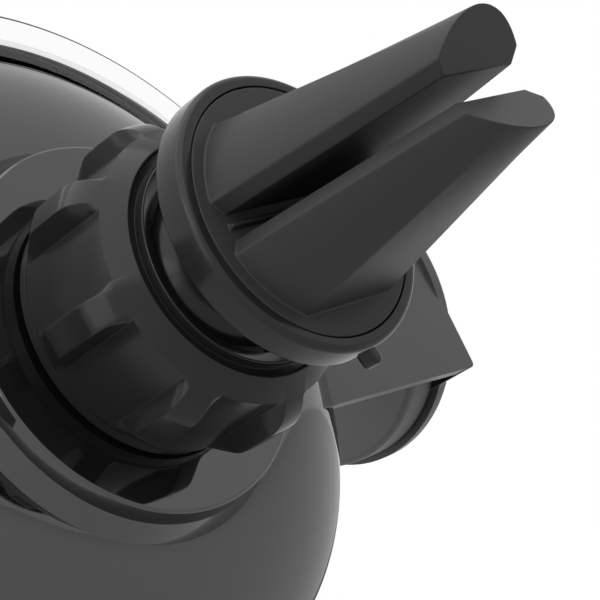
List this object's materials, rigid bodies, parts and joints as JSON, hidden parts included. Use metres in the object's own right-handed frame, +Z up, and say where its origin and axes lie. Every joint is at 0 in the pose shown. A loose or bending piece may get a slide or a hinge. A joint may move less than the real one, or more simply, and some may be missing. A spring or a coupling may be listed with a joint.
{
  "type": "air vent phone holder",
  "caption": "Car air vent phone holder: split two-prong vent clip on a ball joint with a fluted clamp nut, round housing, two side arms with round jaws and a sliding foot.",
  "frame": {"origin": "centre of the vent clip's front face, where the prongs start", "axes": "+Y out along the prongs into the vent, +Z up, +X to the holder's right as seen from the phone's side; the phone faces -Y"},
  "size_m": [0.0956, 0.0766, 0.0665],
  "materials": {
    "body_black": "glossy moulded",
    "clip_black": "satin moulded",
    "inner_black": "plain moulded",
    "grip_rubber": "matt",
    "trim_chrome": "bright plating",
    "steel": "bright"
  },
  "bodies": {
    "clip": {"clip_insert": "clip_black", "clip_ring": "clip_black", "ball_stud": "clip_black", "stud_screw": "steel"},
    "seat": {"ball_seat": "inner_black"},
    "washer": {"seat_washer": "inner_black"},
    "holder": {"ball_socket": "inner_black", "socket_screws": "steel", "rear_shell": "body_black", "chassis": "inner_black", "front_cover": "body_black", "cover_screws": "steel", "face_pad": "grip_rubber", "brow_trim": "trim_chrome", "left_spring": "steel", "right_spring": "steel"},
    "nut": {"clamp_nut": "clip_black"},
    "left_side": {"left_arm": "body_black", "left_grip_pad": "grip_rubber", "left_cam_pin": "steel"},
    "right_side": {"right_arm": "body_black", "right_grip_pad": "grip_rubber", "right_cam_pin": "steel"},
    "foot": {"foot_slider": "body_black", "foot_pad": "grip_rubber"}
  },
  "joints": [
    {"name": "tilt", "type": "hinge", "parent": "clip", "child": "seat", "pos_m": [0, -0.013, 0], "axis": [1, 0, 0], "range_deg": [-15, 15]},
    {"name": "pan", "type": "hinge", "parent": "seat", "child": "washer", "pos_m": [0, -0.013, 0], "axis": [0, 0, 1], "range_deg": [-15, 15]},
    {"name": "roll", "type": "hinge", "parent": "washer", "child": "holder", "pos_m": [0, -0.013, 0], "axis": [0, 1, 0], "continuous": true},
    {"name": "nut_turn", "type": "hinge", "parent": "holder", "child": "nut", "pos_m": [0, -0.013, 0], "axis": [0, 1, 0], "range_deg": [0, 360]},
    {"name": "foot_slide", "type": "slide", "parent": "holder", "child": "foot", "axis": [0, 0, -1], "range_m": [0, 0.012], "stiffness_N_per_m": 80, "springref_m": -0.006, "deforming": ["left_spring", "right_spring"]},
    {"name": "left_arm_slide", "type": "slide", "parent": "holder", "child": "left_side", "axis": [1, 0, 0], "range_m": [0, 0.012]},
    {"name": "right_arm_slide", "type": "slide", "parent": "holder", "child": "right_side", "axis": [-1, 0, 0], "range_m": [0, 0.012]}
  ],
  "couplings": [
    {"joint": "left_arm_slide", "follows": "foot_slide", "ratio": 1},
    {"joint": "right_arm_slide", "follows": "foot_slide", "ratio": 1}
  ]
}
